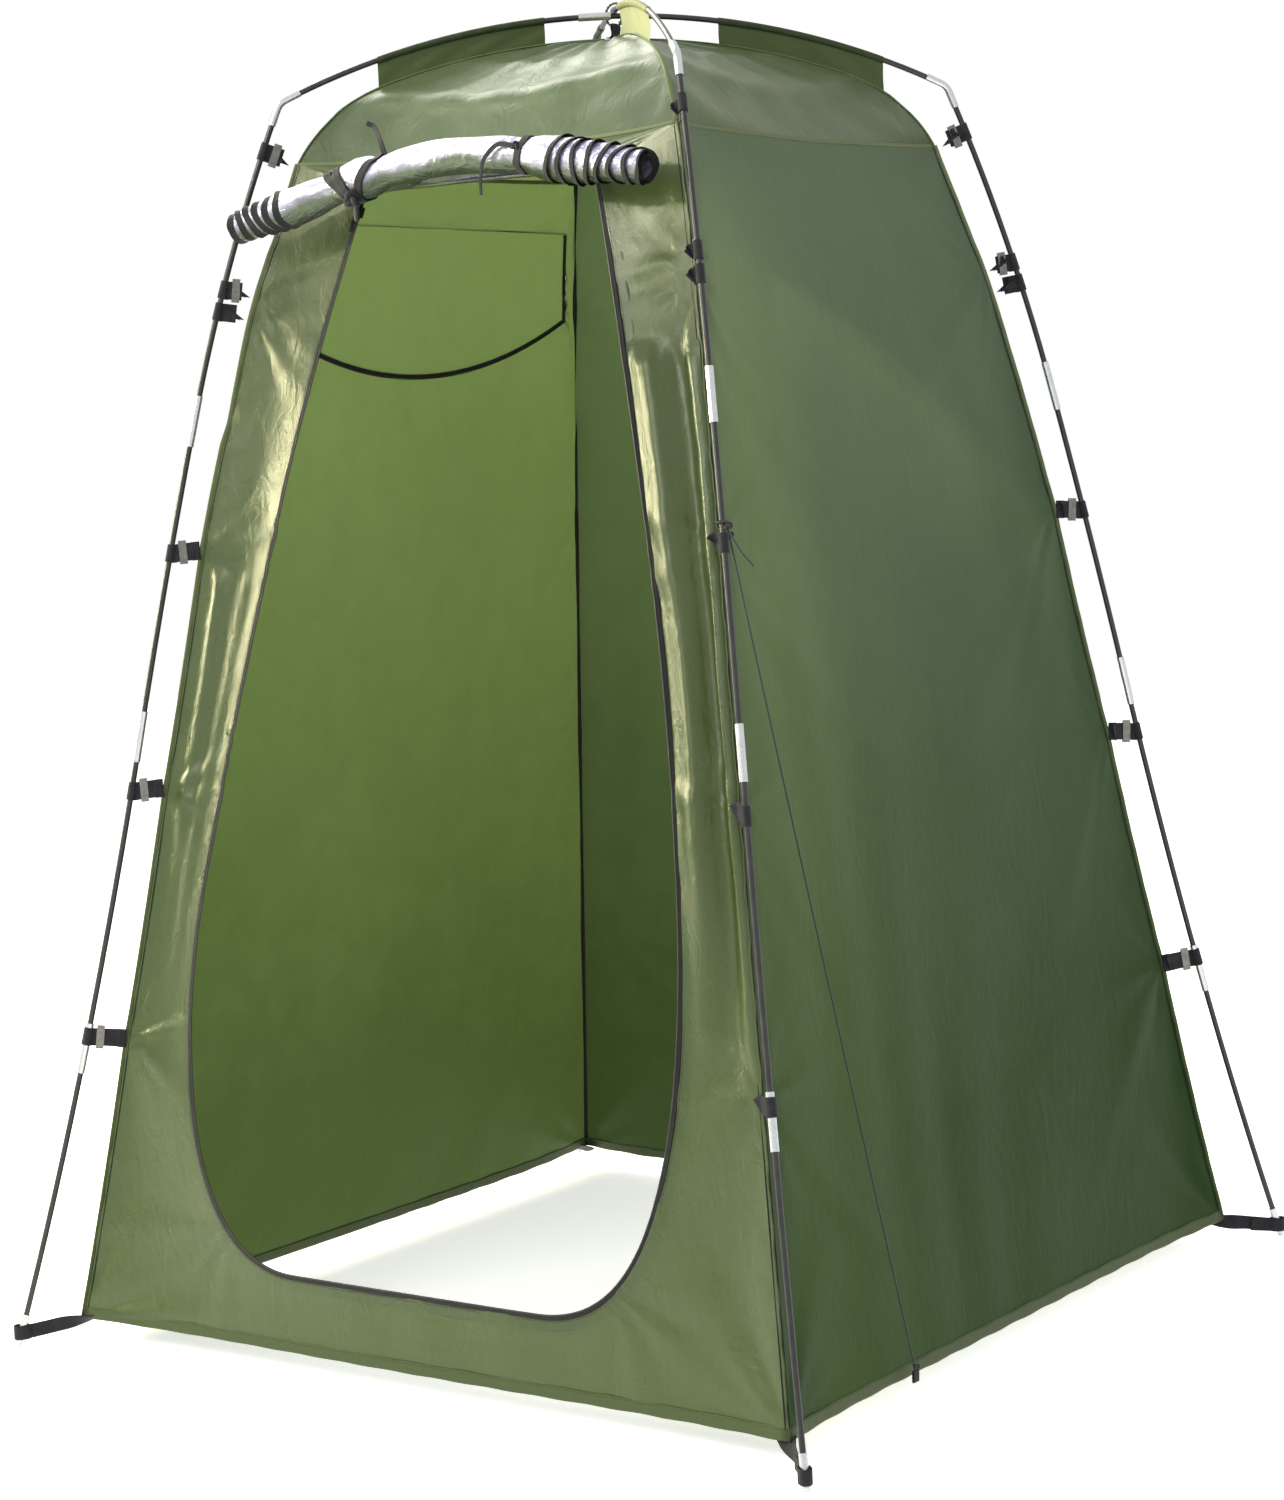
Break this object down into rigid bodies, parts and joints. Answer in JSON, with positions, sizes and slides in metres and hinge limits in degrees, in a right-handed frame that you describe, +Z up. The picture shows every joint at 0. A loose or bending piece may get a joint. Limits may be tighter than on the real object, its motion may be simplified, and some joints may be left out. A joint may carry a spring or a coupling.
{
  "type": "privacy shower tent",
  "caption": "Square pop-up privacy tent with two crossed pole hoops, strapped-on cloth cabin, arched doorway with rolled door, window flap and guy line.",
  "frame": {"origin": "on the ground, at the middle of the feet", "axes": "+Z up, -Y out through the doorway, +X to the right of someone facing the doorway"},
  "size_m": [1.3502, 1.3502, 1.8628],
  "materials": {
    "pole_black": "satin",
    "ferrule_silver": "satin",
    "shock_cord": "matt",
    "webbing": "matt",
    "buckle_metal": "satin",
    "green_cloth": "satin",
    "hem_cloth": "satin",
    "silver_lining": "satin",
    "zip_tape": "matt",
    "zip_metal": "satin",
    "black_plastic": "matt",
    "cord": "matt"
  },
  "bodies": {
    "tent": {"apex_ferrules": "ferrule_silver", "apex_tie": "cord", "back_wall": "green_cloth", "door_zip": "zip_tape", "elbows": "ferrule_silver", "ferrules_bl": "ferrule_silver", "ferrules_br": "ferrule_silver", "ferrules_fl": "ferrule_silver", "ferrules_fr": "ferrule_silver", "foot_straps": "webbing", "foot_tips": "ferrule_silver", "front_wall": "green_cloth", "guy_line": "cord", "guy_ring": "black_plastic", "guy_tab": "webbing", "hem_binding": "hem_cloth", "left_wall": "green_cloth", "pole_bl_1": "pole_black", "pole_bl_2": "pole_black", "pole_bl_3": "pole_black", "pole_bl_4": "pole_black", "pole_br_1": "pole_black", "pole_br_2": "pole_black", "pole_br_3": "pole_black", "pole_br_4": "pole_black", "pole_fl_1": "pole_black", "pole_fl_2": "pole_black", "pole_fl_3": "pole_black", "pole_fl_4": "pole_black", "pole_fr_1": "pole_black", "pole_fr_2": "pole_black", "pole_fr_3": "pole_black", "pole_fr_4": "pole_black", "pole_sleeves": "green_cloth", "right_wall": "green_cloth", "roof": "green_cloth", "roof_pole_bl": "pole_black", "roof_pole_br": "pole_black", "roof_pole_fl": "pole_black", "roof_pole_fr": "pole_black", "roof_tab": "webbing", "shock_cord_one": "shock_cord", "shock_cord_two": "shock_cord", "straps_bl": "webbing", "straps_br": "webbing", "straps_fl": "webbing", "straps_fr": "webbing", "window_zip": "zip_tape"},
    "window_flap": {"window_flap": "green_cloth"},
    "door_roll": {"door_roll": "silver_lining", "door_ties": "webbing"},
    "tie_toggle": {"tie_toggle": "black_plastic"},
    "door_slider": {"door_slider": "zip_metal"},
    "door_pull": {"door_pull": "zip_metal"},
    "window_slider": {"window_slider": "zip_metal"},
    "window_pull": {"window_pull": "zip_metal"},
    "buckles_fl": {"buckles_fl": "buckle_metal"},
    "buckles_fr": {"buckles_fr": "buckle_metal"},
    "buckles_br": {"buckles_br": "buckle_metal"},
    "buckles_bl": {"buckles_bl": "buckle_metal"}
  },
  "joints": [
    {"name": "window_flap_hinge", "type": "hinge", "parent": "tent", "child": "window_flap", "pos_m": [-0.35012, 0, 1.57075], "axis": [0, 1, 0], "range_deg": [0, 80]},
    {"name": "door_roll_lift", "type": "hinge", "parent": "tent", "child": "door_roll", "pos_m": [0, -0.34, 1.602], "axis": [1, 0, 0], "range_deg": [-30, 0]},
    {"name": "tie_toggle_swing", "type": "hinge", "parent": "door_roll", "child": "tie_toggle", "pos_m": [-0.16043, -0.39506, 1.58501], "axis": [0, 1, 0], "range_deg": [-30, 30]},
    {"name": "door_zip_travel", "type": "slide", "parent": "tent", "child": "door_slider", "axis": [-0.2422, -0.2258, -0.9436], "range_m": [0, 0.2119]},
    {"name": "door_pull_swing", "type": "hinge", "parent": "door_slider", "child": "door_pull", "pos_m": [-0.19769, -0.35163, 1.57436], "axis": [-0.9702, 0.0564, 0.2356], "range_deg": [0, 80]},
    {"name": "window_zip_travel", "type": "hinge", "parent": "tent", "child": "window_slider", "pos_m": [-0.23739, 0, 2.08923], "axis": [0.977, 0, -0.2134], "range_deg": [0, 52.9]},
    {"name": "window_pull_swing", "type": "hinge", "parent": "window_slider", "child": "window_pull", "pos_m": [-0.37473, -0.33616, 1.42806], "axis": [-0.191, -0.4457, -0.8746], "range_deg": [0, 80]},
    {"name": "buckle_slide_fl", "type": "slide", "parent": "tent", "child": "buckles_fl", "axis": [0.7054, 0.7054, -0.0699], "range_m": [0, 0.004]},
    {"name": "buckle_slide_fr", "type": "slide", "parent": "tent", "child": "buckles_fr", "axis": [-0.7054, 0.7054, -0.0699], "range_m": [0, 0.004]},
    {"name": "buckle_slide_br", "type": "slide", "parent": "tent", "child": "buckles_br", "axis": [-0.7054, -0.7054, -0.0699], "range_m": [0, 0.004]},
    {"name": "buckle_slide_bl", "type": "slide", "parent": "tent", "child": "buckles_bl", "axis": [0.7054, -0.7054, -0.0699], "range_m": [0, 0.004]}
  ]
}
